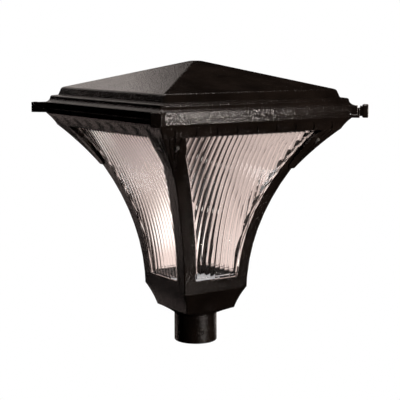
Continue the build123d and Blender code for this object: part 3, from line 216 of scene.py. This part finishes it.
def ribbed_sheet():
    sheet = Finish("clear ribbed sheet")
    dust = sheet.between(sheet.grain(0.03, detail=5.0, roughness=0.7), 0.45, 0.8)
    waves = sheet.grain(0.012, detail=1.0, stretch=(1.0, 1.0, 0.3))
    return sheet.surface(
        Base_Color=sheet.blend(dust * 0.5, (0.97, 0.955, 0.95), (0.92, 0.90, 0.89)),
        Roughness=dust * 0.06 + 0.02,
        IOR=sheet_index,
        Transmission_Weight=1.0,
        Normal=sheet.relief(waves, 0.0004, strength=0.15, edge=0.0002),
    )


def clear_cover():
    cover = Finish("clear moulded cover")
    dust = cover.between(cover.grain(0.02, detail=4.0), 0.45, 0.8)
    return cover.surface(
        Base_Color=cover.blend(dust, (0.97, 0.97, 0.98), (0.9, 0.9, 0.9)),
        Roughness=dust * 0.12 + 0.05,
        IOR=1.49,
        Transmission_Weight=1.0,
    )


print("clear plastics made")

# %% [markdown]
# ## Bare metals
#
# Screws, shafts and pins are stainless steel, turned on a lathe, so they carry fine rings and tiny scratches. The heat
# sink is extruded aluminium with lines along its length, the floor plate is zinc-coated sheet with its mottled
# crystals, and the earth screw is brass. They are all the same idea: a metal whose roughness and bumps come from
# noise, stretched where a tool drew it out.


# %% Metals
def worked_metal(name, bright, dull, roughness, stretch, size):
    metal = Finish(name)
    lines = metal.grain(size, detail=3.0, stretch=stretch)
    stains = metal.between(metal.grain(0.012, detail=4.0), 0.4, 0.75)
    return metal.surface(
        Base_Color=metal.blend(stains * 0.7 + lines * 0.2, bright, dull),
        Metallic=1.0,
        Roughness=lines * 0.16 + stains * 0.1 + roughness,
        Normal=metal.relief(lines, 0.00008, strength=0.4, edge=0.0003),
    )


def zinc_sheet():
    zinc = Finish("zinc-coated sheet")
    sockets = {"Vector": zinc.place(), "Scale": 110.0, "Randomness": 1.0}
    crystals = zinc.node("ShaderNodeTexVoronoi", {"feature": "F1"}, sockets, output="Color")
    split = zinc.node("ShaderNodeSeparateColor", {}, {0: crystals}, output="Red")
    return zinc.surface(
        Base_Color=zinc.blend(split, (0.42, 0.43, 0.45), (0.58, 0.59, 0.60)),
        Metallic=0.55,
        Roughness=split * 0.18 + 0.48,
        Normal=zinc.relief(zinc.grain(0.004, detail=3.0), 0.0001, strength=0.4, edge=0.0003),
    )


def stainless():
    return worked_metal("stainless steel", (0.85, 0.83, 0.80), (0.60, 0.58, 0.55), 0.28, (1.0, 1.0, 0.2), 0.0008)


def extrusion():
    return worked_metal("extruded aluminium", (0.70, 0.71, 0.72), (0.52, 0.53, 0.55), 0.30, (0.02, 1.0, 1.0), 0.0006)


def brass():
    return worked_metal("brass", (0.80, 0.58, 0.24), (0.50, 0.34, 0.13), 0.22, (1.0, 1.0, 0.2), 0.0008)


print("metals made")

# %% [markdown]
# ## Paint, plastic and rubber
#
# The pieces inside are moulded or painted. Each takes a base colour with faint clouds, a shallow bump for the mould's
# texture, and its own gloss. One recipe serves them all, with the grain's size and depth as the difference.


# %% Moulded and painted pieces
def moulded(name, light, dark, roughness, size, depth, coat=0.0):
    piece = Finish(name)
    clouds = piece.grain(0.015, detail=5.0, roughness=0.65)
    texture = piece.grain(size, detail=2.0)
    return piece.surface(
        Base_Color=piece.blend(piece.between(clouds, 0.3, 0.7), light, dark),
        Roughness=clouds * 0.16 + roughness,
        Coat_Weight=coat,
        Normal=piece.relief(texture, depth, strength=0.5, edge=0.0004),
    )


def phosphor():
    """The emitters: a yellow dome of resin in a white surround."""
    return moulded("yellow phosphor", (0.93, 0.74, 0.16), (0.82, 0.60, 0.10), 0.22, 0.0006, 0.00003, coat=0.5)


print("mouldings made")

# %% [markdown]
# ## Each solid gets its finish
#
# The record lists a material slot for every solid. The dictionary below gives each slot its finish once, so a piece
# that shares a slot shares the very same material, as pieces from one tin of paint do.

# %% Finishes by slot
finishes = {
    "bronze_powder_coat": powder_coat(),
    "ribbed_clear_sheet": ribbed_sheet(),
    "stainless_steel": stainless(),
    "gasket_rubber": moulded("gasket rubber", (0.022, 0.022, 0.023), (0.012, 0.012, 0.012), 0.62, 0.0008, 0.00008),
    "gear_white": moulded("white gear paint", (0.78, 0.78, 0.75), (0.70, 0.70, 0.67), 0.28, 0.0015, 0.00006, 0.3),
    "zinc_sheet": zinc_sheet(),
    "sink_aluminium": extrusion(),
    "board_white": moulded("white solder resist", (0.86, 0.86, 0.83), (0.80, 0.80, 0.77), 0.25, 0.003, 0.00003, 0.2),
    "emitter_yellow": phosphor(),
    "cover_clear": clear_cover(),
    "driver_case": moulded("off-white case", (0.74, 0.74, 0.71), (0.66, 0.66, 0.63), 0.42, 0.0007, 0.00006),
    "protector_case": moulded("black case", (0.02, 0.02, 0.022), (0.03, 0.03, 0.032), 0.42, 0.0007, 0.00006),
    "terminal_plastic": moulded("ivory terminal block", (0.66, 0.62, 0.50), (0.58, 0.54, 0.42), 0.38, 0.0009, 0.00005),
    "cable_jacket": moulded("black cable jacket", (0.03, 0.03, 0.032), (0.02, 0.02, 0.021), 0.45, 0.0012, 0.00006),
    "lead_jacket": moulded("grey lead jacket", (0.42, 0.42, 0.41), (0.34, 0.34, 0.33), 0.45, 0.0012, 0.00006),
    "earth_brass": brass(),
}
node_slots = {name: piece.material_slots[0].material.name for name, piece in nodes.items()}
for name, piece in nodes.items():
    for place in piece.material_slots:
        place.material = finishes[node_slots[name].split(".")[0]]
blackened = worked_metal("blackened steel", (0.035, 0.032, 0.03), (0.02, 0.018, 0.017), 0.3, (1.0, 1.0, 0.2), 0.0008)
for place in nodes["fitter_set_screws"].material_slots:
    place.material = blackened
print(sorted(set(node_slots.values())))

# %% [markdown]
# ## Floor and light
#
# The lantern stands clear of a pale floor that runs to the horizon, in front of a white sky. Both show only to the
# camera, because a white room would otherwise grey the black coat.

# %% Stage
floor_level = -2.0
floor_size = 60.0
white = (1.0, 1.0, 1.0)

bpy.context.scene.view_settings.view_transform = "Standard"
sky = bpy.data.worlds.new("white sky")
sky.use_nodes = True
sky.node_tree.nodes["Background"].inputs["Color"].default_value = (*white, 1.0)
for kind in ("diffuse", "glossy", "transmission"):
    setattr(sky.cycles_visibility, kind, False)
bpy.context.scene.world = sky


def stage_card(name, points, faces, material, rays):
    """A card of the set that only the given kinds of rays see."""
    mesh = bpy.data.meshes.new(name)
    mesh.from_pydata(points, [], faces)
    mesh.materials.append(material)
    card = bpy.data.objects.new(name, mesh)
    bpy.context.scene.collection.objects.link(card)
    for kind in ("camera", "diffuse", "glossy", "transmission", "shadow"):
        setattr(card, "visible_" + kind, kind in rays)
    return card


def floor_paint():
    paint = Finish("pale floor")
    shade = paint.node("ShaderNodeEmission", {}, {"Color": (*white, 1.0), "Strength": 1.0})
    paint.node("ShaderNodeOutputMaterial", {}, {"Surface": shade})
    return paint.material


half = floor_size / 2
floor_corners = [(x, y, floor_level) for x, y in ((-half, -half), (half, -half), (half, half), (-half, half))]
stage_card("pale_floor", floor_corners, [(0, 1, 2, 3)], floor_paint(), ("camera",))
print("stage ready")

# %% [markdown]
# ## The card behind the panels
#
# Clear plastic shows what lies behind it, and behind a real panel on a set stands a card. Here it is a ring of card
# round the whole lantern, which only the rays that pass through the panels see. It is pinkish white with light and
# shade painted on, as a set looks that is lit from one side: a painted shade makes it a little darker to the right and
# dull high up, and a painted highlight makes it brightest low down at the left. Left and right run along one fixed
# direction of the room, so the card stays as it is when the camera moves.


# %% Ring of card
def round_the_lantern(bearing, distance, height):
    """A place at a bearing, in degrees from +X, and a distance from the lantern's axis."""
    turn = math.radians(bearing)
    return (distance * math.cos(turn), distance * math.sin(turn), height)


# painted light on the card: the lit colour at the left, a shaded one at the right, a painted highlight and a painted
# shade
card_lit_left = (1.02, 0.84, 0.775)
card_shaded_right = (0.88, 0.72, 0.665)
card_painted_highlight = (1.9, 1.8, 1.7)
card_painted_shade = (0.12, 0.09, 0.08)


def panel_card_paint():
    """Pinkish white, with painted shade high up at the left and to the right, and a painted highlight low down."""
    paint = Finish("panel card")
    place = paint.place()
    height = paint.node("ShaderNodeSeparateXYZ", {}, {0: place}, output="Z")
    sockets = {0: place, 1: across_the_view}
    across = paint.node("ShaderNodeVectorMath", {"operation": "DOT_PRODUCT"}, sockets, output="Value")
    # painted shade: the card is darker high up, most of all at the left
    dull = paint.between(height, 0.06, 0.34) * (paint.between(across, 0.12, -0.12) * 0.75 + 0.25)
    # painted highlight: a bright patch low down at the left
    gleam = paint.between(height, 0.16, 0.09) * paint.between(height, 0.01, 0.07) * paint.between(across, 0.02, -0.1)
    # painted side lighting: the card is a darker tone to the right
    side = paint.blend(paint.between(across, -0.05, 0.07), card_lit_left, card_shaded_right)
    lit = paint.blend(gleam, side, card_painted_highlight)
    return paint.surface(
        Base_Color=(0.0, 0.0, 0.0),
        Specular_IOR_Level=0.0,
        Emission_Color=paint.blend(dull, lit, card_painted_shade),
        Emission_Strength=1.0,
    )


ring_radius = 0.8
ring_low, ring_high = -1.2, 1.6
ring_steps = 72
view = (camera_target - camera_place).normalized()
across_the_view = Vector((view.y, -view.x, 0.0)).normalized()
bearings = [360 * i / ring_steps for i in range(ring_steps)]
points = [round_the_lantern(bearing, ring_radius, z) for z in (ring_low, ring_high) for bearing in bearings]
faces = [(i, (i + 1) % ring_steps, (i + 1) % ring_steps + ring_steps, i + ring_steps) for i in range(ring_steps)]
stage_card("panel_card", points, faces, panel_card_paint(), ("transmission",))
print("ring of card in", ring_steps, "steps")

# %% [markdown]
# ## Lamps
#
# A glossy black coat is drawn by what it mirrors, so each lamp is set where one face mirrors it to the camera. High up
# behind the lantern a big lamp greys the roof's left slope, and one low down does the same for the band. In front,
# small strong lamps give the sparkling line along the rim, the dots on the legs and the line down the neck. Plain
# clear plastic stops a lamp's light in this renderer, so a lamp inside lights the floor plate. A fill lamp, one at the
# back and one on top serve the other sides and the gear under the open roof.


# %% A soft lamp
warm = (1.0, 0.90, 0.85)
brown = (1.0, 0.80, 0.74)


def soft_lamp(name, place, aim, width, height, brightness, tone=white):
    """A rectangular lamp whose brightness is that of a white card of 1."""
    lamp = bpy.data.lights.new(name, "AREA")
    lamp.shape = "RECTANGLE"
    lamp.size = width
    lamp.size_y = height
    lamp.energy = brightness * math.pi * width * height
    lamp.color = tone
    holder = bpy.data.objects.new(name, lamp)
    holder.location = place
    holder.rotation_euler = (Vector(aim) - Vector(place)).to_track_quat("-Z", "Y").to_euler()
    bpy.context.scene.collection.objects.link(holder)
    holder.visible_camera = False
    holder.visible_transmission = False


print("lamp maker ready")

# %% Lamps: place, aim, width, height, brightness and tone
lamps = (
    ("roof lamp", (0.22, 2.2, 1.45), (0, 0, 0.5), 1.7, 1.4, 0.74, warm),
    ("band lamp", (-0.5, 2.4, -0.85), (-0.2, 0.1, 0.46), 0.8, 0.7, 0.65, brown),
    ("rim lamp", (0.32, -1.08, 0.34), (-0.17, -0.23, 0.47), 0.04, 0.08, 420.0, warm),
    ("leg lamp", (0.45, -0.95, -0.35), (-0.13, -0.17, 0.4), 0.04, 0.04, 60.0, warm),
    ("neck lamp", (0.1, -1.1, -0.12), (0, 0, 0.03), 0.08, 0.24, 18.0, warm),
    ("inside lamp", (0.0, 0.0, 0.4), (0, 0, 0), 0.18, 0.18, 10.0),
    ("fill lamp", (-1.8, -1.6, 1.4), (0, 0, 0.35), 1.6, 1.6, 0.08, warm),
    ("back lamp", (2.3, 1.6, 0.1), (0, 0, 0.3), 2.4, 1.6, 1.6, warm),
    ("top lamp", (0.3, -0.1, 3.2), (0, 0, 0.5), 1.6, 1.6, 6.0, warm),
)
for lamp in lamps:
    soft_lamp(*lamp)
print("lamps lit:", len(lamps))
